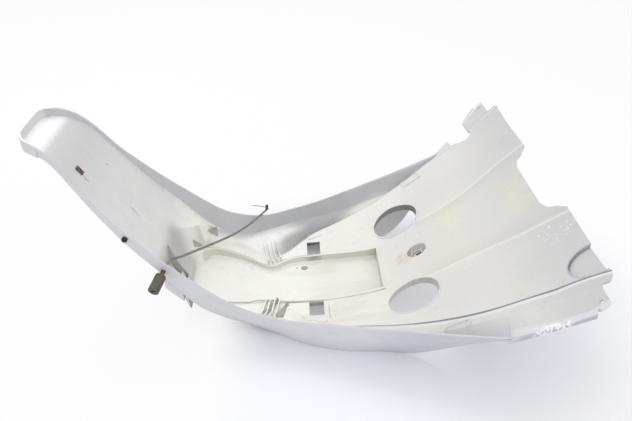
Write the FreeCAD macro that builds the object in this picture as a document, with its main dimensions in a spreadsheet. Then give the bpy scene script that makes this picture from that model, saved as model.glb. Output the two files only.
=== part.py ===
import FreeCAD, Part
import math
import os

# Used scooter rear fender, one thin painted moulding that lies upside down on its two lower edges.
# Millimetres. X runs along the fender towards its wide front end, Y across it, Z up from the floor.
# The narrow tail rises at the low X end. The origin is on the floor, on the mirror plane.

V = FreeCAD.Vector
UP = V(0, 0, 1)
doc = FreeCAD.newDocument("rear_fender")
sheet = doc.addObject("Spreadsheet::Sheet", "sizes")
cell_row = [0]


def put(alias, value):
    """Writes one driving size into the sheet and returns it as a number."""
    cell_row[0] += 1
    cell = "B%d" % cell_row[0]
    sheet.set("A%d" % cell_row[0], alias)
    sheet.set(cell, str(value))
    sheet.setAlias(cell, alias)
    return float(value)


def put_line(name, fields, rows):
    """Writes a guide line of the moulding, one cell for each number, and returns its rows."""
    kept = []
    for number, row in enumerate(rows, 1):
        kept.append([put("%s_%d_%s" % (name, number, field), value) for field, value in zip(fields, row)])
    return kept


def along(rows, x, column):
    """Value of a guide line at x, by a smooth curve through its points that never overshoots them."""
    last = len(rows) - 1
    if x <= rows[0][0]:
        return rows[0][column]
    if x >= rows[last][0]:
        return rows[last][column]
    k = max(i for i in range(last) if rows[i][0] <= x)

    def slope(i):
        low, high = max(i - 1, 0), min(i + 1, last)
        return (rows[high][column] - rows[low][column]) / (rows[high][0] - rows[low][0])

    span = rows[k + 1][0] - rows[k][0]
    u = (x - rows[k][0]) / span
    a, b = rows[k][column], rows[k + 1][column]
    rise = b - a
    p, q = slope(k) * span, slope(k + 1) * span
    limit = 3.0 * abs(rise)
    p = max(-limit, min(limit, p)) if p * rise > 0 else 0.0
    q = max(-limit, min(limit, q)) if q * rise > 0 else 0.0
    return a + u * (p + u * (3 * rise - 2 * p - q + u * (p + q - 2 * rise)))


# Driving sizes: guide lines, each a few points of place along X, half width and height
PLACE = ("along", "half", "height")
rim = put_line("rim", PLACE, [
    (-385, 52, 323), (-353, 62, 311), (-325, 72, 295), (-311, 78, 276), (-282, 86, 235), (-234, 98, 182),
    (-183, 106, 136), (-130, 113, 94), (-91, 124, 75), (-53, 135, 67), (-5, 153, 69), (37, 165, 75),
    (96, 187, 85), (153, 207, 97), (206, 227, 108), (268, 250, 123)])
floor_depth = put_line("floor", ("along", "depth"), [
    (-385, 13), (-345, 11), (-322, 6), (-284, 8), (-243, 17), (-215, 21), (-185, 28), (-155, 36), (-101, 35),
    (-64, 26), (-15, 23), (37, 27), (100, 30), (195, 27), (235, 16), (268, 3)])
sill = put_line("sill", PLACE, [
    (-200, 96, 118), (-190, 96, 104), (-172, 87, 66), (-148, 84, 40), (-119, 87, 24), (-79, 92, 12), (-45, 98, 2),
    (-22, 110, 0), (6, 125, 0), (33, 135, 0), (72, 143, 0), (138, 147, 0), (175, 158, 8), (209, 178, 36),
    (245, 214, 82), (268, 243, 112)])
belly = put_line("belly", ("along", "bulge"), [(-190, 0), (-150, 7), (-80, 7), (0, 4), (110, 4), (235, 0)])
valley = put_line("valley", PLACE, [
    (-206, 22, 122), (-190, 39, 105), (-172, 67, 92), (-157, 88, 79), (-143, 97, 64), (-115, 97, 42), (-83, 90, 26),
    (-50, 78, 18), (-18, 92, 19), (13, 124, 23), (45, 141, 29), (75, 150, 37), (117, 167, 53), (155, 182, 68),
    (200, 200, 92), (240, 214, 119), (268, 223, 137), (320, 236, 175), (347, 249, 201), (390, 267, 238)])
wing_edge = put_line("wing_edge", PLACE, [
    (-206, 17, 120), (-190, 34, 98), (-172, 60, 72), (-157, 78, 52), (-143, 83, 43), (-115, 76, 36), (-83, 67, 27),
    (-50, 58, 20), (-18, 68, 27), (-2, 90, 29), (13, 107, 32), (45, 126, 38), (71, 135, 45), (117, 153, 60),
    (146, 166, 72), (187, 182, 93), (208, 191, 106), (238, 202, 125), (268, 211, 144), (320, 223, 180),
    (347, 236, 205), (390, 252, 241)])
ridge = put_line("ridge", PLACE, [
    (-206, 7, 117), (-190, 20, 82), (-175, 44, 50), (-160, 62, 42), (-143, 72, 40), (-115, 67, 34),
    (-83, 58, 25), (-50, 47, 18), (-19, 58, 24), (38, 60, 29), (134, 60, 46), (186, 71, 76), (211, 72, 91),
    (257, 76, 122), (299, 85, 154), (338, 95, 188), (390, 104, 231)])
lip = put_line("lip", PLACE, [(268, 250, 120), (294, 264, 147), (320, 278, 174), (340, 292, 199), (390, 326, 262)])
trough = put_line("trough", PLACE, [
    (-174, 34, 30), (-160, 62, 26), (-143, 69, 24), (-115, 66, 21), (-83, 57, 16), (-50, 44, 12), (-30, 46, 13),
    (-12, 57, 15), (38, 58, 18), (134, 53, 29)])

front_line = put_line("front", ("along", "half", "radius"), [
    (340, 293, 0), (343.5, 284, 0), (346, 288.5, 1.5), (354.5, 288, 1.5), (356, 270, 0), (359, 251, 2), (368, 254.5, 3),
    (371.5, 247, 2), (370.8, 238, 0), (376, 93, 5), (367, 79, 6), (359, 73, 6), (354, 53, 10)])
bite_line = put_line("bite", ("along", "half", "radius"), [
    (285, 310, 0), (291, 262, 0), (291, 222, 0), (300, 214, 3), (315, 211, 6), (323, 222, 4), (322.5, 262, 0), (320, 310, 0)])

# Driving sizes: the moulding's walls, steps and beads
wall = put("wall", 3)
tail_flare = put("tail_flare", 0.3)
tail_foot = put("tail_foot", 2)
wing_hollow = put("wing_hollow", 0.28)
trough_bead = put("trough_bead", 1.6)
trough_draft = put("trough_draft", 2)
lip_drop = put("lip_drop", 4)

# Driving sizes: holes, tabs and outlines of the moulding
tail_end = put("tail_end_along", -376)
tail_corner = put("tail_corner_radius", 36)
oval_place = put("oval_along", 172)
oval_offset = put("oval_offset", 101)
oval_radius = put("oval_radius", 36)
collar_wall = put("collar_wall", 2.4)
collar_depth = put("collar_depth", 9)
hatch_place = put("hatch_along", 27)
hatch_offset = put("hatch_offset", 79)
hatch_length = put("hatch_length", 23)
hatch_width = put("hatch_width", 34)
drain_place = put("drain_along", 10)
drain_offset = put("drain_offset", 40)
drain_radius = put("drain_radius", 6)
cup_place = put("cup_along", 193)
cup_radius = put("cup_radius", 14.5)
cup_depth = put("cup_depth", 9)
end_place = put("end_along", 376)
tab_hole_radius = put("tab_hole_radius", 3)
tab_hole_place = put("tab_hole_along", 349)
tab_hole_offset = put("tab_hole_offset", 277)
window_place = put("clip_window_along", 210)
window_near = put("clip_window_near", 206)
window_far = put("clip_window_far", 185)
window_turn = put("clip_window_turn", 12)
window_length = put("clip_window_length", 32)
window_width = put("clip_window_width", 18)
bead_width = put("bead_width", 2.5)
bead_height = put("bead_height", 1.6)
dent_place = put("end_recess_along", 368)
dent_offset = put("end_recess_offset", 210)
dent_radius = put("end_recess_radius", 28)
dent_depth = put("end_recess_depth", 4)
rib_count = put("neck_rib_count", 4)
rib_pitch = put("neck_rib_pitch", 7)
rib_thick = put("neck_rib_thickness", 1.8)
rib_height = put("neck_rib_height", 7)
rib_place = put("neck_rib_along", -52)
well_low = put("lock_well_start", -204)
well_high = put("lock_well_end", -177)
well_near = put("lock_well_near", 86)
well_far = put("lock_well_far", 20)
well_depth = put("lock_well_depth", 26)
slot_place = put("tail_slot_along", -248)
slot_offset = put("tail_slot_offset", 7)
slot_length = put("tail_slot_length", 12)
slot_width = put("tail_slot_width", 2.5)

# Driving sizes: attached metal and rubber pieces
fit_gap = put("fit_gap", 0.3)
lock_place = put("lock_along", -195)
lock_rise = put("lock_above_floor", 5)
lock_neck_radius = put("lock_neck_radius", 3.4)
lock_neck_length = put("lock_neck_length", 10)
lock_radius = put("lock_radius", 8)
lock_length = put("lock_length", 27)
cable_radius = put("cable_radius", 1.5)
collar_radius = put("cable_collar_radius", 2.8)
collar_length = put("cable_collar_length", 8)
eye_radius = put("cable_eye_radius", 3.4)
eye_thick = put("cable_eye_thickness", 0.8)
wire_radius = put("cable_wire_radius", 0.6)
wire_length = put("cable_wire_length", 24)
eye_bore = put("cable_eye_bore", 1.5)
touch_gap = put("touch_gap", 0.1)
seat_gap = put("seat_gap", 0.5)
keyway_length = put("keyway_length", 8)
keyway_width = put("keyway_width", 2)
keyway_depth = put("keyway_depth", 4)
plug_place = put("plug_along", -242)
plug_below = put("plug_below_rim", 9)
plug_radius = put("plug_radius", 2.6)
plug_head_radius = put("plug_head_radius", 4)
plug_head = put("plug_head_length", 3.5)
nut_place = put("speed_nut_along", -305)
nut_offset = put("speed_nut_offset", 38)
nut_length = put("speed_nut_length", 13)
nut_width = put("speed_nut_width", 9)
nut_thick = put("speed_nut_thickness", 1.2)
nut_hole = put("speed_nut_hole_radius", 2)
screw_radius = put("screw_radius", 2.4)
screw_length = put("screw_length", 16)
screw_head_radius = put("screw_head_radius", 4.6)
screw_head = put("screw_head_height", 3)
clip_length = put("clip_length", 19)
clip_width = put("clip_width", 11)
clip_thick = put("clip_thickness", 1)
clip_rise = put("clip_rise", 7)


def even_stations(start, end, count):
    """Evenly spaced places along X, which keep a smooth loft free of ripples."""
    return [start + (end - start) * i / float(count) for i in range(count + 1)]


def skin(section, stations):
    """Solid through section(x), a closed run of (y, z) points, with a smooth curve along each corner."""
    rows = [[V(x, y, z) for y, z in section(x)] for x in stations]
    corners = []
    for number in range(len(rows[0])):
        curve = Part.BSplineCurve()
        curve.interpolate(Points=[row[number] for row in rows], Parameters=list(stations))
        corners.append(curve.toShape())
    faces = [Part.makeRuledSurface(corners[i - 1], corners[i]) for i in range(len(corners))]
    for row in (rows[0], rows[-1]):
        faces.append(Part.Face(Part.makePolygon(row + [row[0]])))
    shell = Part.makeShell(faces)
    shell.sewShape()
    solid = Part.makeSolid(shell)
    if solid.Volume < 0:
        solid.reverse()
    return solid


def both_sides(half):
    """A run of (half width, height) points, mirrored to go from the low Y edge to the high Y edge."""
    return [(-y, z) for y, z in half] + [(y, z) for y, z in reversed(half)]


def prism(outline, low=-20.0, high=400.0):
    """Upright block over a closed plan outline of (x, y) points or (x, y, corner radius)."""
    count = len(outline)
    edges = []
    ends = []
    for i in range(count):
        here = V(outline[i][0], outline[i][1], low)
        radius = outline[i][2] if len(outline[i]) > 2 else 0.0
        before = V(outline[i - 1][0], outline[i - 1][1], low)
        after = V(outline[(i + 1) % count][0], outline[(i + 1) % count][1], low)
        back = (before - here).normalize()
        on = (after - here).normalize()
        if radius > 0:
            half_angle = back.getAngle(on) / 2.0
            reach = radius / math.tan(half_angle)
            start, stop = here + back * reach, here + on * reach
            middle = here + (back + on).normalize() * (radius / math.sin(half_angle) - radius)
            ends.append((start, stop))
            edges.append(Part.Arc(start, middle, stop).toShape())
        else:
            ends.append((here, here))
    for i in range(count):
        start, stop = ends[i][1], ends[(i + 1) % count][0]
        if start.distanceToPoint(stop) > 1e-6:
            edges.append(Part.LineSegment(start, stop).toShape())
    wire = Part.Wire(Part.__sortEdges__(edges))
    return Part.Face(wire).extrude(V(0, 0, high - low))


def floor_height(x):
    """Top of the floor or pan where it meets the side wall."""
    return along(rim, x, 2) - along(floor_depth, x, 1)


def steepness(height, x):
    """How much thicker a sloping sheet is along Z than square to its face."""
    slope = (height(x + 4) - height(x - 4)) / 8.0
    return min(2.2, math.hypot(1.0, slope))


def lower_edge(x):
    """Outer lower edge of the side wall: a low foot under the tail floor, the sill further on."""
    if x < sill[0][0]:
        depth = along(floor_depth, x, 1)
        drop = wall * steepness(floor_height, x) + tail_foot
        return along(rim, x, 1) - tail_flare * depth, floor_height(x) - drop
    return along(sill, x, 1), along(sill, x, 2)


def wall_outer(x, z):
    """Half width of the side wall's outer face at height z."""
    low_half, low_height = lower_edge(x)
    high_half, high_height = along(rim, x, 1), along(rim, x, 2)
    share = (z - low_height) / (high_height - low_height)
    bulge = along(belly, x, 1) * (1.0 - abs(2.0 * share - 1.0))
    return low_half + share * (high_half - low_half) + bulge


def pan_line(x, number):
    """Half width and height of the pan's top at x: 0 at the wall, then valley, edge, middle, ridge."""
    if number == 0:
        top = floor_height(x)
        return wall_outer(x, top) - wall, top
    if number == 3:
        edge, top = pan_line(x, 2), pan_line(x, 4)
        return 0.55 * edge[0] + 0.45 * top[0], top[1] + wing_hollow * (edge[1] - top[1])
    line = (valley, wing_edge, None, ridge)[number - 1]
    if x >= line[0][0]:
        return along(line, x, 1), along(line, x, 2)
    dish = max(0.0, min(1.0, (x + 350.0) / 144.0)) * (floor_height(line[0][0]) - line[0][2])
    return line[0][1] * along(rim, x, 1) / along(rim, line[0][0], 1), floor_height(x) - dish


def pan_half(x, lift):
    """Top of the pan at x from the wall to the ridge, raised square to its face by lift."""
    rows = []
    for number in range(5):
        half, height = pan_line(x, number)
        thick = lift * steepness(lambda s: pan_line(s, number)[1], x)
        rows.append((half, height + thick))
    return rows


def shell_section(x):
    """Whole section at x: two side walls with the pan or tail floor between them."""
    low_half, low_height = lower_edge(x)
    high_half, high_height = along(rim, x, 1), along(rim, x, 2)
    middle = (low_height + high_height) / 2.0
    top = pan_half(x, 0.0)
    under = pan_half(x, -wall)
    under[0] = (wall_outer(x, under[0][1]) - wall, under[0][1])
    half = [(high_half, high_height), (high_half - wall, high_height)] + top
    low = [(low_half - wall, low_height), (low_half, low_height), (wall_outer(x, middle), middle)]
    lower = under[::-1] + low
    points = [(-y, z) for y, z in half] + [(y, z) for y, z in half[::-1]]
    points += [(y, z) for y, z in lower[::-1]] + [(-y, z) for y, z in lower]
    return points


def wing_half(x, lift):
    rows = pan_half(x, lift)
    rows[0] = (along(lip, x, 1), along(lip, x, 2) + lift * steepness(lambda s: along(lip, s, 2), x))
    return rows


def layer(half_points, low, high, stations):
    """Sheet between two heights above the top face that half_points() describes."""
    return skin(lambda x: both_sides(half_points(x, high)) + both_sides(half_points(x, low))[::-1], stations)


def trough_block(grow, top_lift):
    """The deep trough as a block: grow is added to its sides, ends and floor."""
    start, end = trough[0][0], trough[-1][0]

    def section(x):
        half = along(trough, x, 1) + grow
        floor = along(trough, x, 2) - grow
        top = along(ridge, x, 2)
        chamfer = 0.25 * (top - floor)
        foot = half - trough_draft
        return both_sides([(half, top + top_lift), (foot, floor + chamfer), (foot - chamfer, floor)])

    return skin(section, even_stations(start - grow, end + grow, 14))


def named(name, shape):
    feature = doc.addObject("Part::Feature", name)
    feature.Shape = shape
    return feature


SHELL_STATIONS = even_stations(-385.0, lip[0][0], 26)
WING_STATIONS = even_stations(lip[0][0], lip[-1][0], 7)


def sheet_height(half_points, x, y):
    """Height of the top face that half_points() describes, over the plan point x, y."""
    rows = half_points(x, 0.0)
    if abs(y) <= rows[-1][0]:
        return rows[-1][1]
    for outer, inner in zip(rows, rows[1:]):
        if abs(y) >= inner[0]:
            share = (abs(y) - inner[0]) / (outer[0] - inner[0])
            return inner[1] + share * (outer[1] - inner[1])


def seat(half_points, x, y, lift):
    """Placement on that face at x, y: Z square to the face, raised by lift along it."""
    step = 3.0
    rise_x = sheet_height(half_points, x + step, y) - sheet_height(half_points, x - step, y)
    rise_y = sheet_height(half_points, x, y + step) - sheet_height(half_points, x, y - step)
    normal = V(-rise_x, -rise_y, 2.0 * step).normalize()
    return FreeCAD.Placement(V(x, y, sheet_height(half_points, x, y)) + normal * lift, FreeCAD.Rotation(UP, normal))


def block(name, length, width, height, centre, turn=0.0):
    """Upright box bound to the sheet, its plan centre and underside at centre, turned about Z."""
    box = doc.addObject("Part::Box", name)
    box.setExpression("Length", length)
    box.setExpression("Width", width)
    box.setExpression("Height", height)
    doc.recompute()
    spin = FreeCAD.Rotation(UP, turn)
    corner = spin.multVec(V(-box.Length.Value / 2, -box.Width.Value / 2, 0))
    box.Placement = FreeCAD.Placement(centre + corner, spin)
    return box


def rod(name, radius, height, base, axis=UP):
    """Cylinder bound to the sheet, standing on base along axis."""
    cylinder = doc.addObject("Part::Cylinder", name)
    cylinder.setExpression("Radius", radius)
    cylinder.setExpression("Height", height)
    cylinder.Placement = FreeCAD.Placement(base, FreeCAD.Rotation(UP, axis))
    return cylinder


def plate(name, length, width, height, place, slide=0.0):
    """Box bound to the sheet, standing centred on a placement, moved by slide along its X."""
    box = doc.addObject("Part::Box", name)
    box.setExpression("Length", length)
    box.setExpression("Width", width)
    box.setExpression("Height", height)
    doc.recompute()
    corner = V(slide - box.Length.Value / 2, -box.Width.Value / 2, 0)
    box.Placement = place.multiply(FreeCAD.Placement(corner, FreeCAD.Rotation()))
    return box


def peg(name, radius, height, place):
    """Cylinder bound to the sheet, standing on a placement."""
    axis = place.Rotation.multVec(UP)
    return rod(name, radius, height, place.Base, axis)


def cord_path(points):
    """Straight runs joined by tangent arcs, each arc as large as its two runs allow."""
    edges = []
    start = points[0]
    for before, here, after in zip(points, points[1:], points[2:]):
        back = (before - here).normalize()
        on = (after - here).normalize()
        half_angle = back.getAngle(on) / 2.0
        reach = 0.45 * min(before.distanceToPoint(here), after.distanceToPoint(here))
        radius = reach * math.tan(half_angle)
        print("cable arc radius %.0f mm" % radius)
        entry, leave = here + back * reach, here + on * reach
        middle = here + (back + on).normalize() * (radius / math.sin(half_angle) - radius)
        edges.append(Part.LineSegment(start, entry).toShape())
        edges.append(Part.Arc(entry, middle, leave).toShape())
        start = leave
    edges.append(Part.LineSegment(start, points[-1]).toShape())
    return Part.Wire(edges)


def fused(name, objects):
    feature = doc.addObject("Part::MultiFuse", name)
    feature.Shapes = objects
    return feature


def cut(name, base, tool):
    feature = doc.addObject("Part::Cut", name)
    feature.Base = base
    feature.Tool = tool
    return feature


def common(name, objects):
    feature = doc.addObject("Part::MultiCommon", name)
    feature.Shapes = objects
    return feature


SIDES = (("near", -1.0), ("far", 1.0))
LOW = -20.0
TALL = "400 mm"


def end_outline():
    """Plan outline of the front end: lip end, hole tab, strip end, corner and the notch between the wings."""
    back = lip[0][0] - 60.0
    clear = lip[-1][1] + 60.0
    side = [(back, clear), (front_line[0][0], clear)] + [tuple(row) for row in front_line]
    near = [(p[0], -p[1], *p[2:]) for p in reversed(side)]
    return side + near


def tip_outline(grow):
    """Plan outline of the tail end, round at its corners, inset by grow."""
    front = tail_end + 45.0
    half = along(rim, front, 1) - 0.8 - grow
    tip_half = along(rim, tail_end, 1) - 0.3 - grow
    return [(front, -half), (front, half), (tail_end + grow, tip_half, tail_corner - grow),
            (tail_end + grow, -tip_half, tail_corner - grow)]


def tip_rows(x):
    """Tall band at the tail end, from the floor's underside to the rim."""
    low = floor_height(x) - wall * steepness(floor_height, x)
    high = along(rim, x, 2)
    return [(-120.0, low), (-120.0, high), (120.0, high), (120.0, low)]


def lip_rows(side):
    """Section of the lip that turns down along one free edge of the front end."""
    def section(x):
        half, top = along(lip, x, 1), along(lip, x, 2)
        rows = [(half - wall, top - 0.5), (half + 0.4, top), (half + 1.2, top - lip_drop),
                (half - 0.8, top - lip_drop - 1.0)]
        return [(side * y, z) for y, z in rows]
    return section


# The bare moulding: tail, side walls, pan and front end
shell_blank = named("shell_blank", skin(shell_section, SHELL_STATIONS))
wing_sheet = named("wing_sheet", skin(lambda x: both_sides(wing_half(x, 0.0)) + both_sides(wing_half(x, -wall))[::-1],
                                      WING_STATIONS))
wing_lips = [named("wing_lip_" + name, skin(lip_rows(side), even_stations(lip[0][0] - 4.0, lip[-1][0], 7)))
             for name, side in SIDES]
end_plan = named("end_plan", prism(end_outline()))
front_end = common("front_end", [fused("front_blank", [wing_sheet] + wing_lips), end_plan])

# The closed, round tail end
tip_band = named("tip_band", skin(tip_rows, even_stations(tail_end - 6.0, tail_end + 30.0, 3)))
tip_ring = cut("tip_ring", named("tip_plan", prism(tip_outline(0.0))), named("tip_inside", prism(tip_outline(wall))))
tip_wall = common("tip_wall", [tip_ring, tip_band])
tip_waste = cut("tip_waste", named("tip_field", prism([(-430, -150), (tail_end + 30.0, -150),
                                                       (tail_end + 30.0, 150), (-430, 150)])),
                named("tip_keep", prism(tip_outline(0.0))))

# Collars, cup, beads and ribs follow the pan's own top face
collar_layer = named("collar_layer", layer(pan_half, -collar_depth, 0.5, SHELL_STATIONS))
bead_layer = named("bead_layer", layer(pan_half, -1.0, bead_height, SHELL_STATIONS))
rib_layer = named("rib_layer", layer(pan_half, -1.0, rib_height, SHELL_STATIONS))
well_layer = named("well_layer", layer(pan_half, -well_depth, 0.0, SHELL_STATIONS))
hollow_layer = named("hollow_layer", layer(pan_half, wall - well_depth, 30.0, SHELL_STATIONS))
cup_layer = named("cup_layer", layer(pan_half, -cup_depth - wall, 0.0, SHELL_STATIONS))
added = []
holes = []
for name, side in SIDES:
    spot = V(oval_place, side * oval_offset, LOW)
    tube = rod("collar_tube_" + name, "sizes.oval_radius + sizes.collar_wall", TALL, spot)
    added.append(common("oval_collar_" + name, [tube, collar_layer]))
    holes.append(rod("oval_hole_" + name, "sizes.oval_radius", TALL, spot))
    hatch = V(hatch_place, side * hatch_offset, LOW)
    holes.append(block("hatch_hole_" + name, "sizes.hatch_length", "sizes.hatch_width", TALL, hatch))
    frame = V(window_place, window_far if side > 0 else -window_near, LOW)
    turn = side * window_turn
    outer_box = block("window_outer_" + name, "sizes.clip_window_length", "sizes.clip_window_width", TALL, frame, turn)
    inner_box = block("window_inner_" + name, "sizes.clip_window_length - 2 * sizes.bead_width",
                      "sizes.clip_window_width - 2 * sizes.bead_width", TALL, frame, turn)
    added.append(common("clip_window_" + name, [cut("window_ring_" + name, outer_box, inner_box), bead_layer]))
    label = V(hatch_place + 2.0, side * (hatch_offset + hatch_width / 2 + 14.0), LOW)
    added.append(common("hatch_pad_" + name, [
        block("hatch_pad_block_" + name, "sizes.hatch_length * 1.1", "sizes.bead_width * 3", TALL, label, side * 22.0),
        bead_layer]))
    for number in range(int(rib_count)):
        x = rib_place + number * rib_pitch
        half = along(ridge, x, 1) + 2.0
        out = V(x - 9.0, side * (half + 44.0), LOW)
        inn = V(x, side * half, LOW)
        along_rib = (out - inn).normalize()
        across = along_rib.cross(UP) * (rib_thick / 2.0)
        fin = prism([(p.x, p.y) for p in (inn + across, out + across, out - across, inn - across)])
        added.append(common("neck_rib_%s_%d" % (name, number + 1),
                            [named("rib_plan_%s_%d" % (name, number + 1), fin), rib_layer]))
    holes.append(peg("tab_hole_" + name, "sizes.tab_hole_radius", "4 * sizes.wall",
                     seat(wing_half, tab_hole_place, side * tab_hole_offset, -2.0 * wall)))

cup_spot = V(cup_place, 0, LOW)
cup_block = rod("cup_block", "sizes.cup_radius + sizes.wall", TALL, cup_spot)
added.append(common("clip_cup", [cup_block, cup_layer]))
cup_hollow = common("cup_hollow", [rod("cup_bore", "sizes.cup_radius", TALL, cup_spot),
                                   named("cup_space", layer(pan_half, -cup_depth, 12.0, SHELL_STATIONS))])
holes.append(peg("screw_hole", "sizes.screw_radius + sizes.fit_gap", "4 * sizes.wall",
                 seat(pan_half, cup_place, 0, -cup_depth - 2.0 * wall)))
holes.append(rod("drain_hole", "sizes.drain_radius", TALL, V(drain_place, drain_offset, LOW)))

# The deep trough with its raised edge
trough_shell = named("trough_shell", trough_block(wall, trough_bead))
trough_space = named("trough_space", trough_block(0.0, 40.0))

# The well beside the lock, open upwards in the root of the tail
well_plan = [(well_low, -well_far), (well_high, -well_far), (well_high, -well_near), (well_low + 8.0, -well_near)]
well_grown = [(well_low - wall, -well_far + wall), (well_high + wall, -well_far + wall),
              (well_high + wall, -well_near - wall), (well_low + 8.0 - wall, -well_near - wall)]
added.append(common("lock_well", [named("well_block", prism(well_grown)), well_layer]))
well_space = common("well_space", [named("well_bore", prism(well_plan)), hollow_layer])

# The tail slot, the plug hole and the lock hole
slot = block("tail_slot", "sizes.tail_slot_length", "sizes.tail_slot_width", TALL,
             V(slot_place, -slot_offset, LOW), -24.0)
holes.append(slot)
plug_height = along(rim, plug_place, 2) - plug_below
plug_face = wall_outer(plug_place, plug_height)
holes.append(rod("plug_hole", "sizes.plug_radius + sizes.fit_gap", "3 * sizes.wall",
                 V(plug_place, -plug_face - wall, plug_height), V(0, 1, 0)))
lock_height = floor_height(lock_place) + lock_rise
lock_face = wall_outer(lock_place, lock_height)
LOCK_AXIS = V(0.25, 0.93, 0.22).normalize()
lock_spot = V(lock_place, -lock_face, lock_height)
holes.append(rod("lock_hole", "sizes.lock_neck_radius + sizes.fit_gap", "5 * sizes.wall",
                 lock_spot - LOCK_AXIS * 2.0 * wall, LOCK_AXIS))

# The round-ended recess in the near wing and the piece broken out of the far edge
dent_plan = [(end_place + 20, -dent_offset - dent_radius + 1), (end_place + 20, -dent_offset + dent_radius - 1),
             (dent_place - dent_radius, -dent_offset + dent_radius, dent_radius * 0.95),
             (dent_place - dent_radius, -dent_offset - dent_radius, dent_radius * 0.95)]
dent_outer = [(end_place + 20, -dent_offset - dent_radius - wall), (end_place + 20, -dent_offset + dent_radius + wall),
              (dent_place - dent_radius - wall, -dent_offset + dent_radius + wall, dent_radius),
              (dent_place - dent_radius - wall, -dent_offset - dent_radius - wall, dent_radius)]
dent_layer = named("dent_layer", layer(wing_half, -dent_depth - wall, -0.5, WING_STATIONS))
dent_space = named("dent_space", layer(wing_half, -dent_depth, 3.0, WING_STATIONS))
dent_shell = common("dent_shell", [named("dent_block", prism(dent_outer)), dent_layer, end_plan])
added.append(dent_shell)
dent_hollow = common("dent_hollow", [named("dent_bore", prism(dent_plan)), dent_space])
holes.append(named("broken_edge", prism([tuple(row) for row in bite_line])))

moulding = fused("moulding", [shell_blank, front_end, tip_wall, trough_shell] + added)
opened = moulding
plain_holes = fused("plain_holes", holes)
for number, tool in enumerate((plain_holes, cup_hollow, well_space, dent_hollow, trough_space, tip_waste)):
    opened = cut("opened_%d" % (number + 1), opened, tool)
fender = opened

# The seat lock: a neck through the near wall and a barrel outside it, with a keyway in its end
OUTWARD = LOCK_AXIS * -1.0
neck_end = lock_spot + LOCK_AXIS * (2.0 * wall)
barrel_start = lock_spot + OUTWARD * lock_neck_length
neck = rod("lock_neck", "sizes.lock_neck_radius", "sizes.lock_neck_length + 2 * sizes.wall", neck_end, OUTWARD)
barrel = rod("lock_body", "sizes.lock_radius", "sizes.lock_length", barrel_start, OUTWARD)
key_place = FreeCAD.Placement(barrel_start + OUTWARD * (lock_length - keyway_depth), FreeCAD.Rotation(UP, OUTWARD))
keyway = plate("keyway", "sizes.keyway_length", "sizes.keyway_width", "2 * sizes.keyway_depth", key_place)
lock = cut("lock_barrel", fused("lock_turned", [neck, barrel]), keyway)

# The stiff release cable, from the lock over the pan to the far rim
cable_points = [
    neck_end, neck_end + LOCK_AXIS * 18.0, V(-183, -54, 114.5), V(-160, -23, 105), V(-134, 11, 95),
    V(-109, 47, 84.5), V(-86, 84, 78), V(-70.8, 115.7, 73.5), V(-57.6, 146.4, 69)]
cable_line = cord_path(cable_points)
cable_ring = Part.Wire(Part.Circle(neck_end, LOCK_AXIS, cable_radius).toShape())
cable = named("release_cable", cable_line.makePipeShell([cable_ring], True, False))
print("cable length %.0f mm" % cable_line.Length)

# What is on its far end: an eye, a crimped collar on the eye, and a bare wire end
cable_end = cable_points[-1]
end_run = (cable_end - cable_points[-2]).normalize()
eye_centre = cable_end + end_run * (eye_radius + touch_gap)
eye_base = eye_centre - UP * (eye_thick / 2.0)
eye = cut("cable_eye", rod("eye_disc", "sizes.cable_eye_radius", "sizes.cable_eye_thickness", eye_base),
          rod("eye_bore", "sizes.cable_eye_bore", "sizes.cable_eye_thickness", eye_base))
collar_base = eye_centre + UP * (eye_thick / 2.0 + touch_gap)
collar = rod("cable_collar", "sizes.cable_collar_radius", "sizes.cable_collar_length", collar_base)
WIRE_RUN = V(-0.93, -0.2, 0.3).normalize()
wire_start = collar_base + UP * (collar_length / 2.0) + WIRE_RUN * (collar_radius + wire_radius)
wire = rod("cable_wire", "sizes.cable_wire_radius", "sizes.cable_wire_length", wire_start, WIRE_RUN)

# The rubber plug in the near tail wall
plug_out = V(0, -1, 0)
plug_centre = V(plug_place, -plug_face, plug_height)
plug = fused("wall_plug", [
    rod("plug_stem", "sizes.plug_radius", "2 * sizes.wall", plug_centre + V(0, wall * 1.5, 0), plug_out),
    rod("plug_cap", "sizes.plug_head_radius", "sizes.plug_head_length", plug_centre + plug_out * 0.5 * wall, plug_out)])

# The sheet-metal nut on the tail floor
nut_seat = seat(pan_half, nut_place, -nut_offset, seat_gap)
nut = cut("speed_nut", plate("nut_blank", "sizes.speed_nut_length", "sizes.speed_nut_width",
                             "sizes.speed_nut_thickness", nut_seat),
          peg("nut_bore", "sizes.speed_nut_hole_radius", "sizes.speed_nut_thickness", nut_seat))

# The spring clip in the cup, and the screw that holds it
clip_seat = seat(pan_half, cup_place, 0, seat_gap - cup_depth)
clip_side = (clip_length - clip_thick) / 2.0
clip_blank = fused("clip_blank", [
    plate("clip_base", "sizes.clip_length", "sizes.clip_width", "sizes.clip_thickness", clip_seat),
    plate("clip_low_leg", "sizes.clip_thickness", "sizes.clip_width", "sizes.clip_rise", clip_seat, -clip_side),
    plate("clip_high_leg", "sizes.clip_thickness", "sizes.clip_width", "sizes.clip_rise", clip_seat, clip_side)])
clip = cut("bracket_clip", clip_blank,
           peg("clip_bore", "sizes.screw_radius + sizes.fit_gap", "sizes.clip_thickness", clip_seat))
head_seat = seat(pan_half, cup_place, 0, seat_gap + clip_thick + touch_gap - cup_depth)
shank_seat = seat(pan_half, cup_place, 0, seat_gap + clip_thick + touch_gap - cup_depth - screw_length)
screw = fused("bracket_screw", [
    peg("screw_shank", "sizes.screw_radius", "sizes.screw_length + sizes.screw_head_height", shank_seat),
    peg("screw_cap", "sizes.screw_head_radius", "sizes.screw_head_height", head_seat)])

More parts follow.
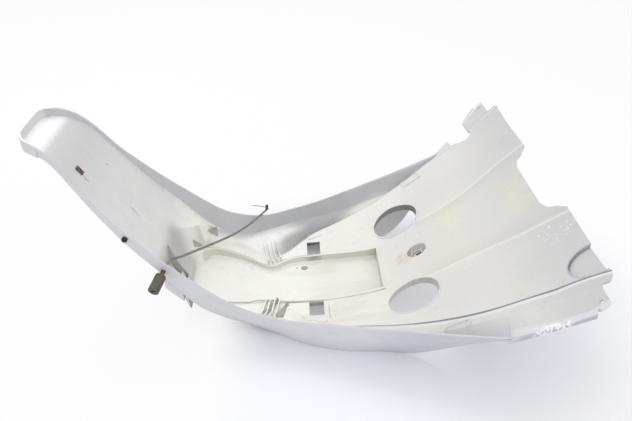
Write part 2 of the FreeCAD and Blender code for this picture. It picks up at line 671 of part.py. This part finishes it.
SUB_PARTS = [fender, lock, cable, collar, eye, wire, nut, plug, clip, screw]
for part, node in zip(SUB_PARTS, (
        "fender_shell", "lock_barrel", "release_cable", "cable_collar", "cable_eye", "cable_wire", "speed_nut",
        "wall_plug", "bracket_clip", "bracket_screw")):
    part.Label = node
doc.recompute()
for item in doc.Objects:
    if "Invalid" in item.State or "Error" in item.State:
        raise RuntimeError("%s did not rebuild" % item.Name)
for part in SUB_PARTS:
    if part.Shape.isNull() or not part.Shape.isValid():
        raise RuntimeError("%s has no valid shape" % part.Label)
os.makedirs("parts", exist_ok=True)
for part in SUB_PARTS:
    part.Shape.exportStep("parts/%s.step" % part.Label)
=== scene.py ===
import bpy
import math
from functools import cached_property
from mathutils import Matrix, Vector


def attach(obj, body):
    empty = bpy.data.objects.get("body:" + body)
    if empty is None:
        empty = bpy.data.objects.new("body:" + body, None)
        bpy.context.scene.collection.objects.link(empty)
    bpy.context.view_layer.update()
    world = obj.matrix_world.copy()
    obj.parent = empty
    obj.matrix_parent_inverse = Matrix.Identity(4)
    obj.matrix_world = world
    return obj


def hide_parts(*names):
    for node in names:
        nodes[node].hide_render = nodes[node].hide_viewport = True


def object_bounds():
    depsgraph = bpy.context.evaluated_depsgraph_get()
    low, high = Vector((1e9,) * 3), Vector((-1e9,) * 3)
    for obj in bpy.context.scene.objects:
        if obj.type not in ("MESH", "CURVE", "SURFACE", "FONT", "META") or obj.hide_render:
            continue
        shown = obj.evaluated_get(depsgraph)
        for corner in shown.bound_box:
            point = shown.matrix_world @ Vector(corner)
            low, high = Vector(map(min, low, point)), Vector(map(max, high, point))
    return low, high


# Looks of a used scooter rear fender that lies upside down on white studio paper.
# Metres, in the frame of the solids: X along the fender, Y across it, Z up from the floor.
# The near side is the one with the lower Y.

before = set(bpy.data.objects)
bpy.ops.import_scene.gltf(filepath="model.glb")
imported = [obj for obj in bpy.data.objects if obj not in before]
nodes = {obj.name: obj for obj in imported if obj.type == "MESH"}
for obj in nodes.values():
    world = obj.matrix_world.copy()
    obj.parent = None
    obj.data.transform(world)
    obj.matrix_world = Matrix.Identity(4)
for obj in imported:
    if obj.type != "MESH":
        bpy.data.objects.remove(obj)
cad_box = [list(corner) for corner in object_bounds()]
scene = bpy.context.scene
scene.view_settings.view_transform = "Standard"

MILLIMETRE = 0.001


def srgb(text):
    """Linear colour of an sRGB hex string."""
    parts = [int(text[i:i + 2], 16) / 255.0 for i in (0, 2, 4)]
    return [p / 12.92 if p <= 0.04045 else ((p + 0.055) / 1.055) ** 2.4 for p in parts] + [1.0]


def place_in_scene(name, data):
    """New object of the scene, made of its data."""
    made = bpy.data.objects.new(name, data)
    scene.collection.objects.link(made)
    return made


# Camera, where the photographer stood: lens and film in millimetres, angles in degrees

LENS = 35.32
FILM_WIDTH = 36.0
CAMERA_PLACE = (0.0, -0.810, 0.684)
CAMERA_ANGLES = (57.14, 0.0, -2.02)

camera_data = bpy.data.cameras.new("camera")
camera_data.lens = LENS
camera_data.sensor_width = FILM_WIDTH
camera = place_in_scene("camera", camera_data)
camera.location = CAMERA_PLACE
camera.rotation_euler = [math.radians(angle) for angle in CAMERA_ANGLES]
scene.camera = camera

# Release cable: its route, from the lock over the pan to the far rim

CABLE_ROUTE = [
    (-0.19348, -0.09374, 0.12706), (-0.18893, -0.0768, 0.13107), (-0.183, -0.054, 0.1145),
    (-0.160, -0.023, 0.105), (-0.134, 0.011, 0.095), (-0.109, 0.047, 0.0845),
    (-0.086, 0.084, 0.078), (-0.0708, 0.1157, 0.0735), (-0.0576, 0.1464, 0.069)]
CABLE_WIDTH = 0.0037

cable_line = bpy.data.curves.new("release_cable_line", "CURVE")
cable_line.dimensions = "3D"
strand = cable_line.splines.new("NURBS")
strand.points.add(len(CABLE_ROUTE) - 1)
for knot, place in zip(strand.points, CABLE_ROUTE):
    knot.co = (*place, 1.0)
    knot.radius = CABLE_WIDTH / 2
strand.order_u = 3
strand.use_endpoint_u = True
cable_line.resolution_u = 12
cable_line.bevel_depth = 1.0  # so that the knots' radii give the thickness
cable_line.bevel_resolution = 4
cable_line.use_fill_caps = True
cable = place_in_scene("release_cable_run", cable_line)
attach(cable, "root")
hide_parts("release_cable")


class Finish:
    """Nodes of one material, or of the world, and the few calls that paint with them."""

    mottle_roughness = 0.55
    spot_core = 0.6
    scratch_core = 0.4
    relief_strength = 0.3

    def __init__(self, owner):
        owner.use_nodes = True
        self.owner = owner
        self.tree = owner.node_tree
        self.tree.nodes.clear()

    def node(self, kind, inputs=None, out=0, **settings):
        """Add a node with its settings and links, and give back one output, or a list of them."""
        made = self.tree.nodes.new(kind)
        for key, value in settings.items():
            setattr(made, key, value)
        for key, value in (inputs or {}).items():
            if isinstance(value, bpy.types.NodeSocket):
                self.tree.links.new(value, made.inputs[key])
            else:
                made.inputs[key].default_value = value
        if isinstance(out, tuple):
            return [made.outputs[name] for name in out]
        return made.outputs[out] if len(made.outputs) else made

    @cached_property
    def place(self):
        """Place on the object, in metres."""
        return self.node("ShaderNodeTexCoord", out="Object")

    def mask(self, *parts):
        """1 where all its parts are: each is a mask, or (value, where it starts, where it is full)."""
        total = None
        for part in parts:
            if isinstance(part, tuple):
                value, start, full = part
                inputs = {"Value": value, "From Min": start, "From Max": full}
                part = self.node("ShaderNodeMapRange", inputs, interpolation_type="SMOOTHSTEP")
            if total is None:
                total = part
            else:
                total = self.node("ShaderNodeMath", {0: total, 1: part}, operation="MULTIPLY")
        return total

    def within(self, value, span):
        """Mask of a span: where it starts, is full, begins to fade and has gone."""
        start, full, fade, gone = span
        return self.mask((value, start, full), (value, gone, fade))

    def any_of(self, masks):
        """1 where any of the masks is."""
        total = masks[0]
        for other in masks[1:]:
            total = self.node("ShaderNodeMath", {0: total, 1: other}, operation="MAXIMUM")
        return total

    def coats(self, colour, *layers):
        """Coats over a colour, each (mask, how strong, colour): hex strings or earlier coats."""
        colour = srgb(colour) if isinstance(colour, str) else colour
        for mask, share, coat in layers:
            coat = srgb(coat) if isinstance(coat, str) else coat
            amount = self.node("ShaderNodeMath", {0: mask, 1: share}, operation="MULTIPLY")
            inputs = {"Factor": amount, 6: colour, 7: coat}
            colour = self.node("ShaderNodeMix", inputs, out=2, data_type="RGBA")
        return colour

    def mottle(self, size, detail=4.0, stretch=(1.0, 1.0, 1.0)):
        """Cloudy pattern whose patches are about size millimetres across."""
        where = self.node("ShaderNodeMapping", {"Vector": self.place, "Scale": stretch})
        return self.node("ShaderNodeTexNoise", {
            "Vector": where, "Scale": 1.0 / (size * MILLIMETRE), "Detail": detail,
            "Roughness": self.mottle_roughness})

    def distance(self, place, centre):
        """Distance of a place from a centre, in metres."""
        return self.node("ShaderNodeVectorMath", {0: place, 1: centre}, out="Value",
                         operation="DISTANCE")

    def spot(self, centre, radius):
        """Mask of a round patch, soft at its edge, with its radius in millimetres."""
        reach = radius * MILLIMETRE
        return self.mask((self.distance(self.place, centre), reach, self.spot_core * reach))

    def scratch(self, start, end, width):
        """Mask of a straight scratch, with its width in millimetres."""
        run = [e - s for s, e in zip(start, end)]
        length = math.sqrt(sum(r * r for r in run))
        unit = [r / length for r in run]
        offset = self.node("ShaderNodeVectorMath", {0: self.place, 1: start}, operation="SUBTRACT")
        onward = self.node("ShaderNodeVectorMath", {0: offset, 1: unit}, out="Value",
                           operation="DOT_PRODUCT")
        foot = self.node("ShaderNodeVectorMath", {0: unit, "Scale": onward}, operation="SCALE")
        half = width * MILLIMETRE
        return self.mask((self.distance(offset, foot), half, self.scratch_core * half),
                         (onward, 0.0, half), (onward, length, length - half))

    def beside(self, along, side, line):
        """Distance outward from a line of the moulding, in metres, less than 0 on its inner side."""
        start, end = line[0][0], line[-1][0]
        widest = max(half for _, half in line)
        share = self.node("ShaderNodeMapRange", {"Value": along, "From Min": start, "From Max": end})
        value = self.node("ShaderNodeFloatCurve", {"Value": share})
        bends = value.node.mapping.curves[0].points
        spots = [((place - start) / (end - start), half / widest) for place, half in line]
        bends[0].location = spots[0]
        bends[1].location = spots[-1]
        for spot in spots[1:-1]:
            bends.new(*spot)
        value.node.mapping.update()
        half_width = self.node("ShaderNodeMath", {0: value, 1: widest}, operation="MULTIPLY")
        return self.node("ShaderNodeMath", {0: side, 1: half_width}, operation="SUBTRACT")

    def finish(self, colour, roughness, grain, depth, **settings):
        """Join colour, roughness and a fine relief of depth millimetres to the surface."""
        relief = self.node("ShaderNodeBump", {
            "Height": grain, "Strength": self.relief_strength, "Distance": depth * MILLIMETRE})
        surface = self.node("ShaderNodeBsdfPrincipled", {
            "Base Color": colour, "Roughness": roughness, "Normal": relief, **settings})
        self.node("ShaderNodeOutputMaterial", {"Surface": surface})
        return self.owner


# Lines of the moulding that its paint follows, as (place along X, half width)

RIM_LINE = [
    (-0.385, 0.052), (-0.325, 0.072), (-0.282, 0.086), (-0.234, 0.098), (-0.183, 0.106),
    (-0.130, 0.113), (-0.053, 0.135), (0.037, 0.165), (0.153, 0.207), (0.268, 0.250),
    (0.294, 0.264), (0.340, 0.292)]
EDGE_LINE = [
    (-0.050, 0.058), (-0.002, 0.090), (0.045, 0.126), (0.117, 0.153), (0.187, 0.182),
    (0.238, 0.202), (0.320, 0.223), (0.390, 0.252)]
RIDGE_LINE = [
    (-0.160, 0.062), (-0.143, 0.072), (-0.115, 0.067), (-0.083, 0.058), (-0.050, 0.047),
    (-0.019, 0.058), (0.038, 0.060), (0.134, 0.060), (0.186, 0.071), (0.257, 0.076),
    (0.338, 0.095), (0.390, 0.104)]

# Spans along X, in metres: where a tone starts, is full, begins to fade and has gone

THROAT = (-0.345, -0.335, -0.320, -0.270)
CABLE_ENTRY = (-0.212, -0.200, -0.172, -0.158)
TROUGH = (-0.180, -0.165, 0.140, 0.150)
TROUGH_BACK = (-0.175, -0.150, 0.010, 0.050)
PAN = (-0.170, -0.120, 0.130, 0.170)
WALL_GLARE = (-0.105, -0.080, -0.030, 0.005)
FAR_SLOPE = (-0.050, -0.020, 0.060, 0.115)
FRONT_PAN = (-0.010, 0.060, 0.150, 0.200)
TROUGH_FRONT = (0.118, 0.124, 0.136, 0.142)
YELLOWED = (0.20, 0.25, 0.33, 0.385)
CHIPPED_LIP = (0.285, 0.292, 0.318, 0.325)

# Openings of each half, as (place along X, half width, height) and the radius of their shade in mm

OPENINGS = [((0.172, 0.101, 0.060), 72.0), ((0.027, 0.079, 0.025), 30.0)]
RECESS = (0.368, -0.210, 0.0)

# Dirt and damage: places in metres, radii and widths in millimetres

RUST_STAIN = ((0.173, -0.004, 0.069), 20.0)
DUST_ON_STRIP = ((0.350, -0.120, 0.205), 34.0)
# Painted shade where a step crosses the near pan: its ends in metres and its width in millimetres
STEP_SHADE_LINE = ((0.046, -0.063, 0.029), (0.047, -0.124, 0.036), 1.3)
SMUDGES = [
    ((-0.340, -0.012, 0.292), 2.0), ((-0.262, -0.020, 0.202), 2.2), ((-0.270, -0.033, 0.208), 2.4),
    ((-0.255, -0.040, 0.190), 3.0), ((-0.233, -0.006, 0.164), 3.2), ((-0.247, -0.060, 0.182), 2.6),
    ((-0.288, 0.030, 0.232), 2.0), ((-0.225, 0.020, 0.155), 2.2), ((-0.003, 0.041, 0.016), 2.0)]
SCRATCHES = [
    ((-0.310, -0.035, 0.262), (-0.293, -0.042, 0.242), 1.2),
    ((-0.300, -0.055, 0.250), (-0.297, -0.038, 0.247), 0.9),
    ((-0.249, -0.016, 0.182), (-0.238, -0.009, 0.170), 3.6)]

PLASTIC_IOR = 1.49


def painted_polypropylene():
    """Injection-moulded polypropylene, sprayed silver from outside.

    Walls and rims have a satin sheen. The plastic inside is bare and chalky, greyed by overspray
    on the tail and the wings, and dirty from use.
    """
    f = Finish(bpy.data.materials.new("painted_polypropylene"))
    x, y = f.node("ShaderNodeSeparateXYZ", {0: f.place}, out=("X", "Y"))
    normal = f.node("ShaderNodeNewGeometry", out="Normal")
    ny, nz = f.node("ShaderNodeSeparateXYZ", {0: normal}, out=("Y", "Z"))
    side = f.node("ShaderNodeMath", {0: y}, operation="ABSOLUTE")
    hand = f.node("ShaderNodeMath", {0: y}, operation="SIGN")
    away = f.node("ShaderNodeMath", {0: ny, 1: hand}, operation="MULTIPLY")
    upright = f.node("ShaderNodeMath", {0: nz}, operation="ABSOLUTE")
    from_rim = f.beside(x, side, RIM_LINE)
    from_edge = f.beside(x, side, EDGE_LINE)
    from_ridge = f.beside(x, side, RIDGE_LINE)
    off_edge = f.node("ShaderNodeMath", {0: from_edge}, operation="ABSOLUTE")
    off_ridge = f.node("ShaderNodeMath", {0: from_ridge}, operation="ABSOLUTE")
    near_side = f.mask((y, 0.010, -0.010))
    far_side = f.mask((y, -0.010, 0.010))
    facing_up = f.mask((nz, 0.2, 0.4))
    top_face = f.mask((nz, 0.2, 0.5))
    before_lip = f.mask((x, 0.272, 0.266))
    at_lip = f.mask((x, 0.262, 0.280))

    # Clouds of overspray, patches of wear, streaks of the spray gun and fine dirt
    cloud = f.mottle(size=110)
    patch = f.mottle(size=30)
    streak = f.mottle(size=17, detail=3.0, stretch=(0.25, 1.6, 1.0))
    fine = f.mottle(size=4)

    # Overspray greys the tail and wings, and bare plastic shows in the pan and trough
    ragged = f.node("ShaderNodeMath", {0: cloud, 1: 0.09, 2: x}, operation="MULTIPLY_ADD")
    tail = f.mask((ragged, -0.120, -0.170))
    wing = f.mask((ragged, 0.130, 0.260))
    wing_end = f.mask((ragged, 0.300, 0.430))
    bare = f.coats("EDECE5", (patch, 1.0, "F6F6F2"))
    colour = f.coats(bare, (tail, 1.0, f.coats("D3D3D3", (patch, 1.0, "E2E2E1"))),
                     (wing, 1.0, f.coats("D7D6D2", (cloud, 1.0, "E1E0DC"))),
                     (wing_end, 0.9, f.coats("C0C0C2", (patch, 1.0, "CCCCCD"))))
    middle = f.mask((side, 0.115, 0.060), f.within(x, YELLOWED), (cloud, 0.40, 0.60))
    tip = f.mask((x, -0.338, -0.350), top_face)
    glare = f.mask(f.within(x, WALL_GLARE), (y, 0.075, 0.095), top_face, (from_rim, -0.006, -0.016))
    colour = f.coats(colour, (middle, 0.4, "E6E2C6"), (f.within(x, THROAT), 0.7, "C6C6C8"),
                     (f.within(x, FRONT_PAN), 0.5, "DFDDD6"), (tip, 1.0, "F3F3F4"),
                     (glare, 0.8, "FCFCFC"))

    # Shade on the far pad's slope, on the trough's walls and in the hollow where the cable comes in
    slope = f.mask(f.within(from_edge, (-0.002, 0.004, 0.028, 0.048)), f.within(x, FAR_SLOPE),
                   (y, 0.04, 0.06))
    trough_wall = f.mask((off_ridge, 0.012, 0.008), (upright, 0.75, 0.50), f.within(x, TROUGH))
    trough_front = f.mask(f.within(x, TROUGH_FRONT), (side, 0.060, 0.055), (upright, 0.6, 0.4))
    entry = f.mask(f.within(x, CABLE_ENTRY), f.within(y, (-0.100, -0.080, 0.015, 0.045)),
                   (nz, 0.90, 0.75))
    colour = f.coats(colour, (slope, 0.9, "A6A6A6"), (trough_wall, 0.6, "C3C1B1"),
                     (trough_front, 0.7, "C9C4B2"), (entry, 0.5, "96938B"))

    # Silver paint on the outer walls, the underside and the rims, dull grey with painted shade on the
    # far wall's inside
    outer_wall = f.mask((away, 0.25, 0.45), (from_rim, -0.030, -0.012))
    outer = f.any_of([outer_wall, f.mask((nz, -0.05, -0.25))])
    inner = f.mask((away, -0.35, -0.6), (from_rim, -0.025, -0.012), before_lip, far_side)
    rims = f.mask((from_rim, -0.0042, -0.0034), before_lip, (nz, 0.3, 0.6))
    silver = f.coats("DADADF", (streak, 1.0, "E6E6E9"), (f.mask((x, 0.060, 0.200)), 0.6, "C6C6CB"))
    # The far wall's inside is silver overspray darkened by painted shade, and lighter towards the tail
    overspray_and_shade = f.coats("B2B3B7", (patch, 1.0, "BFC0C3"),
                          (f.mask((x, -0.060, -0.110)), 0.6, "CFCFD5"))
    rim_silver = f.coats("C2C2CE", (streak, 1.0, "D6D6DF"))
    colour = f.coats(colour, (inner, 1.0, overspray_and_shade), (outer, 1.0, silver), (rims, 1.0, rim_silver))

    # Shade on the walls of the round and the square openings, deeper on the far side
    walls = f.mask((upright, 0.45, 0.25))
    for hand_side, strength, shade in ((1, 0.85, "6F6E6C"), (-1, 0.35, "B3AFA6")):
        holes = f.any_of([f.spot((along, hand_side * half, height), radius)
                          for (along, half, height), radius in OPENINGS])
        colour = f.coats(colour, (f.mask(holes, walls), strength, shade))

    # Step line of the raised strip with painted shade under its edge and a painted highlight above it
    step_shade = f.mask((off_edge, 0.0018, 0.0008), (x, 0.044, 0.050), facing_up)
    near_step_shade = f.mask(step_shade, near_side)
    strong = f.mask((x, 0.080, 0.160))
    light = f.mask(f.within(from_edge, (0.0012, 0.0024, 0.0036, 0.0060)), (x, 0.100, 0.180), facing_up)
    # Painted highlight on each wing's crest, painted shade in the hollow inside it and along the
    # trough's edge
    crest_highlight = f.mask((off_ridge, 0.0048, 0.0008), (x, 0.170, 0.230), facing_up)
    trough_edge_shade = f.mask((off_ridge, 0.0022, 0.0010), f.within(x, TROUGH_BACK), (nz, 0.1, 0.3))
    hollow_shade = f.mask(f.within(from_ridge, (-0.034, -0.003, -0.003, 0.001)), (x, 0.170, 0.240), facing_up)
    colour = f.coats(colour, (near_step_shade, 0.5, "A9A59C"), (f.mask(near_step_shade, strong), 0.85, "75758A"),
                     (f.mask(step_shade, far_side, strong), 0.25, "85858F"),
                     (f.mask(trough_edge_shade, near_side), 0.7, "85837A"),
                     (f.mask(trough_edge_shade, far_side), 0.45, "8F8D82"),
                     (light, 0.6, "F2F2F4"), (hollow_shade, 0.35, "C4C3BF"), (crest_highlight, 0.35, "F3F2EF"))

    # Shadow round the near recess
    flat = f.node("ShaderNodeVectorMath", {0: f.place, 1: (1.0, 1.0, 0.0)}, operation="MULTIPLY")
    arc = f.mask(f.within(f.distance(flat, RECESS), (0.0245, 0.0265, 0.0285, 0.0310)),
                 (x, 0.382, 0.372), near_side)
    colour = f.coats(colour, (arc, 0.55, "9393A6"))

    # Rolled lip: silver with a painted highlight, painted shade at its outer edge, chipped paint on the
    # near side
    lip_highlight = f.mask((from_rim, -0.0125, -0.0105), at_lip)
    lip_edge_shade = f.mask((from_rim, -0.0026, -0.0014), at_lip)
    chipped = f.mask((from_rim, -0.0085, -0.0070), f.within(x, CHIPPED_LIP), near_side,
                     (fine, 0.47, 0.51))
    colour = f.coats(colour, (lip_highlight, 0.7, "E3E3E9"), (lip_edge_shade, 0.55, "A5A5B2"),
                     (chipped, 0.9, "FAFAFA"))

    # Dirt: pale brown bloom in the trough, grime, specks, a rust stain below the clip, dust, marks
    pan = f.mask(f.within(x, PAN), (nz, 0.5, 0.8))
    bloom_cloud = f.mottle(size=42, detail=5.0, stretch=(0.35, 1.3, 1.0))
    bloom = f.mask(pan, (bloom_cloud, 0.50, 0.72))
    grime = f.mask((f.mottle(size=10.5, detail=5.0), 0.57, 0.70), (cloud, 0.40, 0.60))
    specks = f.mask((f.mottle(size=3, detail=2.0), 0.725, 0.760), (cloud, 0.46, 0.56))
    stain = f.mask(f.spot(*RUST_STAIN), (f.mottle(size=9), 0.35, 0.70))
    dust = f.mask(f.spot(*DUST_ON_STRIP), (fine, 0.62, 0.66))
    marks = [f.spot(*smudge) for smudge in SMUDGES] + [f.scratch(*line) for line in SCRATCHES]
    worn = f.mask(f.any_of(marks), (fine, 0.30, 0.44))
    # The coat of the step line is painted shade where a step crosses the near pan
    colour = f.coats(colour, (bloom, 0.35, "D3CDBE"), (grime, 0.14, "9A978C"),
                     (specks, 0.30, "7A766C"), (stain, 0.55, "CBAE86"), (dust, 0.8, "F6F6F8"),
                     (f.scratch(*STEP_SHADE_LINE), 0.6, "A9A394"), (worn, 0.85, "6F6559"))

    # Satin that varies by patches. The sheet swells a little over 70 mm, and the mould's grain of
    # about 0.2 mm is drawn 2 mm across, so that it shows.
    dull = f.node("ShaderNodeMath", {0: patch, 1: 0.16, 2: 0.40}, operation="MULTIPLY_ADD")
    swell = f.mottle(size=70, detail=2.0)
    grain = f.mottle(size=2, detail=2.0)
    relief = f.node("ShaderNodeMath", {0: swell, 1: 6.0, 2: grain}, operation="MULTIPLY_ADD")
    return f.finish(colour, dull, relief, 0.5, IOR=PLASTIC_IOR)


BLOTCH_EDGE = 0.12
FRESH_RUST = "8A4F26"


def rusted_metal(name, clean, rust, pits, rusting, blotch_size, rusty_spots=(), **settings):
    """Stamped, turned or cast metal that has weathered: brown blotches on it, and dark pits in it."""
    f = Finish(bpy.data.materials.new(name))
    blotch = f.mottle(size=blotch_size, detail=5.0)
    pit = f.mottle(size=blotch_size / 4, detail=3.0)
    blotches = f.mask((blotch, rusting + BLOTCH_EDGE, rusting - BLOTCH_EDGE))
    colour = f.coats(clean, (blotches, 1.0, rust), (f.mask((pit, 0.55, 0.75)), 1.0, pits))
    for spot in rusty_spots:
        colour = f.coats(colour, (f.spot(*spot), 0.8, FRESH_RUST))
    rough = f.node("ShaderNodeMath", {0: blotch, 1: 0.35, 2: 0.45}, operation="MULTIPLY_ADD")
    return f.finish(colour, rough, pit, 0.4, **settings)


# Distance between two turns of the cable's sheath, along an axis, in millimetres. Real turns are
# about 0.6 mm apart, and these are drawn wider so that they show.
TURN_PITCH = 3.307


def wound_steel_cable():
    """Steel wire wound into a sheath: ribbed dull grey turns, darker between them."""
    f = Finish(bpy.data.materials.new("wound_steel_cable"))
    scale = 2.0 * math.pi / (10.0 * TURN_PITCH * MILLIMETRE)
    turns = f.node("ShaderNodeTexWave", {"Vector": f.place, "Scale": scale, "Distortion": 0.6}, out=1,
                   wave_type="BANDS", bands_direction="DIAGONAL")
    colour = f.coats("5E5A52", (f.mottle(size=9), 1.0, "A8A59E"), (turns, 0.35, "4A463F"))
    return f.finish(colour, 0.5, turns, 0.3, Metallic=0.45)


def small_fitting(name, dark, light, roughness, cloud_size, **settings):
    """Even finish of a small part, a little cloudy from handling.

    Its grain is finer than 0.1 mm, and is drawn 1 mm across so that it shows.
    """
    f = Finish(bpy.data.materials.new(name))
    cloud = f.mottle(size=cloud_size)
    colour = f.coats(dark, (f.mask((cloud, 0.35, 0.65)), 1.0, light))
    rough = f.node("ShaderNodeMath", {0: cloud, 1: 0.2, 2: roughness}, operation="MULTIPLY_ADD")
    return f.finish(colour, rough, f.mottle(size=1), 0.2, **settings)


# Small gussets of the moulding: corners in metres, and half the sheet's thickness

GUSSETS = [
    [(-0.1766, 0.0480, 0.0575), (-0.1656, 0.0651, 0.0520), (-0.1766, 0.0480, 0.0755)],
    [(-0.1566, 0.0830, 0.0690), (-0.1413, 0.0901, 0.0510), (-0.1413, 0.0901, 0.0730)],
    [(-0.0464, -0.0806, 0.0165), (-0.0290, -0.0560, 0.0170), (-0.0350, -0.0480, 0.0270),
     (-0.0560, -0.0780, 0.0235)],
    [(-0.0260, -0.0885, 0.0165), (-0.0150, -0.0700, 0.0200), (-0.0190, -0.0620, 0.0300),
     (-0.0360, -0.0890, 0.0240)]]
GUSSET_HALF = 0.0009


def gusset_sheet(name, corners):
    """Thin flat gusset over its corners, with its own thickness."""
    corners = [Vector(corner) for corner in corners]
    first, second, third = corners[:3]
    offset = (second - first).cross(third - first).normalized() * GUSSET_HALF
    count = len(corners)
    places = [corner + offset for corner in corners] + [corner - offset for corner in corners]
    faces = [tuple(range(count)), tuple(reversed(range(count, 2 * count)))]
    faces += [(i, i + count, (i + 1) % count + count, (i + 1) % count) for i in range(count)]
    data = bpy.data.meshes.new(name)
    data.from_pydata(places, [], faces)
    piece = place_in_scene(name, data)
    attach(piece, "root")
    return piece


def dress(piece, material):
    """Give a piece its one material."""
    piece.data.materials.clear()
    piece.data.materials.append(material)


dress(nodes["fender_shell"], painted_polypropylene())
dress(cable, wound_steel_cable())

# Die-cast zinc, weathered to a dull brown grey with dark pits, and fresh rust where it meets the wall
RUST_AT_WALL = ((-0.195, -0.0994, 0.1257), 11.0)
dress(nodes["lock_barrel"], rusted_metal(
    "weathered_die_cast_zinc", "69665D", "5B5245", "403C35", 0.45, 4.0, [RUST_AT_WALL], Metallic=0.3))

# Stamped sheet steel, rusted all over: brown and tan blotches, hardly any shine
dress(nodes["speed_nut"], rusted_metal(
    "rusted_sheet_steel", "75604A", "5B4129", "2F261D", 0.55, 2.4, Metallic=0.3))

# Turned screw steel, zinc plated: pale metal, brown where the plating is gone
dress(nodes["bracket_screw"], rusted_metal(
    "zinc_plated_screw_steel", "A7A39B", "8F7558", "55493C", 0.45, 2.4, Metallic=0.8))

# Rolled spring steel: bright, with a soft sheen
dress(nodes["bracket_clip"], small_fitting("spring_steel", "9A9893", "D6D5D1", 0.25, 6.0, Metallic=0.9))

# Moulded rubber: near black and matt, a little greyer where it was handled
dress(nodes["wall_plug"], small_fitting("moulded_black_rubber", "1B1B1C", "2E2E2F", 0.6, 5.0))

# Steel sleeve crimped on the cable: dark from oil, lighter where it is worn
dress(nodes["cable_collar"], small_fitting(
    "crimped_steel", "3B3936", "77736B", 0.45, 3.0, Metallic=0.6))

# Moulded nylon: off-white and half matt
dress(nodes["cable_eye"], small_fitting("moulded_white_nylon", "BDBBB4", "DEDDD8", 0.45, 3.0))

# Drawn steel wire: dull grey metal
dress(nodes["cable_wire"], small_fitting("bare_steel_wire", "5A564F", "8D887F", 0.4, 3.0, Metallic=0.8))

# Bare moulded polypropylene, chalky grey, darkened with painted shade for the gussets
shaded = small_fitting("polypropylene_in_painted_shade", "9F9D95", "B0AEA6", 0.5, 12.0, IOR=PLASTIC_IOR)
for number, corners in enumerate(GUSSETS, 1):
    dress(gusset_sheet("gusset_%d" % number, corners), shaded)


# Studio paper: half its width in metres, how much of it glows white to the camera in the shadow and
# clear of it, the shadow's centre, its shape and the distances over which it ends, in metres, and
# the painted pools of light on the paper below the openings, as (centre, radius in millimetres, how
# much)

PAPER_REACH = 6.0
SHADOW_GLOW = 0.08
CLEAR_GLOW = 0.85
SHADOW_CENTRE = (0.08, -0.06, 0.0)
SHADOW_STRETCH = (1.0, 1.5, 1.0)
SHADOW_END = (0.34, 0.62)
TAIL_SHADOW_END = (-0.04, -0.14)
LIGHT_POOLS_UNDER_HOLES = [((0.17, 0.02, 0.0), 120.0, 0.35), ((0.03, 0.01, 0.0), 130.0, 0.28)]
SEEN_BY = ("Is Camera Ray", "Is Glossy Ray", "Is Transmission Ray")


def studio_paper():
    """Matt white paper: it keeps the object's shadow, and the camera sees it lifted to white."""
    f = Finish(bpy.data.materials.new("studio_paper"))
    paper = f.node("ShaderNodeBsdfDiffuse", {"Color": srgb("F4F5FA")})
    glow = f.node("ShaderNodeEmission", {"Color": srgb("FFFFFF")})
    seen = f.any_of(f.node("ShaderNodeLightPath", out=SEEN_BY))
    x = f.node("ShaderNodeSeparateXYZ", {0: f.place}, out="X")
    ring = f.node("ShaderNodeVectorMath", {0: f.place, 1: SHADOW_STRETCH}, operation="MULTIPLY")
    clear = [f.mask((f.distance(ring, SHADOW_CENTRE), *SHADOW_END)), f.mask((x, *TAIL_SHADOW_END))]
    clear += [f.node("ShaderNodeMath", {0: f.spot(centre, radius), 1: amount}, operation="MULTIPLY")
              for centre, radius, amount in LIGHT_POOLS_UNDER_HOLES]
    inputs = {0: f.any_of(clear), 1: CLEAR_GLOW - SHADOW_GLOW, 2: SHADOW_GLOW}
    lift = f.node("ShaderNodeMath", inputs, operation="MULTIPLY_ADD")
    share = f.node("ShaderNodeMath", {0: seen, 1: lift}, operation="MULTIPLY")
    blend = f.node("ShaderNodeMixShader", {0: share, 1: paper, 2: glow})
    f.node("ShaderNodeOutputMaterial", {"Surface": blend})
    return f.owner


sheet = bpy.data.meshes.new("studio_paper")
sheet_corners = [(i * PAPER_REACH, j * PAPER_REACH, 0) for i, j in ((-1, -1), (1, -1), (1, 1), (-1, 1))]
sheet.from_pydata(sheet_corners, [], [(0, 1, 2, 3)])
floor = place_in_scene("studio_paper", sheet)
floor.location = (0.0, 0.0, cad_box[0][2])
dress(floor, studio_paper())

# Two softboxes that point at the object, with sizes in metres and power in watts

LAMP_AIM = Vector((0.0, 0.0, 0.1))


def soft_lamp(name, place, size, power):
    """Square softbox that points from its place at the object."""
    lamp = bpy.data.lights.new(name, "AREA")
    lamp.size = size
    lamp.energy = power
    box = place_in_scene(name, lamp)
    box.location = place
    box.rotation_euler = (LAMP_AIM - Vector(place)).to_track_quat("-Z", "Y").to_euler()


soft_lamp("key_softbox", (-0.7, 0.9, 1.9), size=1.4, power=15.0)
soft_lamp("front_softbox", (0.9, -1.2, 1.5), size=1.6, power=9.0)

# White studio round the object: its light on the object, and full white where the camera, metal or
# glass sees it

SKY_LIGHT = 0.70

world = bpy.data.worlds.new("white_studio")
scene.world = world
sky = Finish(world)
seen = sky.any_of(sky.node("ShaderNodeLightPath", out=SEEN_BY))
level = sky.node("ShaderNodeMath", {0: seen, 1: 1.0 - SKY_LIGHT, 2: SKY_LIGHT},
                 operation="MULTIPLY_ADD")
background = sky.node("ShaderNodeBackground", {"Color": srgb("FFFFFF"), "Strength": level})
sky.node("ShaderNodeOutputWorld", {"Surface": background})

bpy.context.view_layer.update()
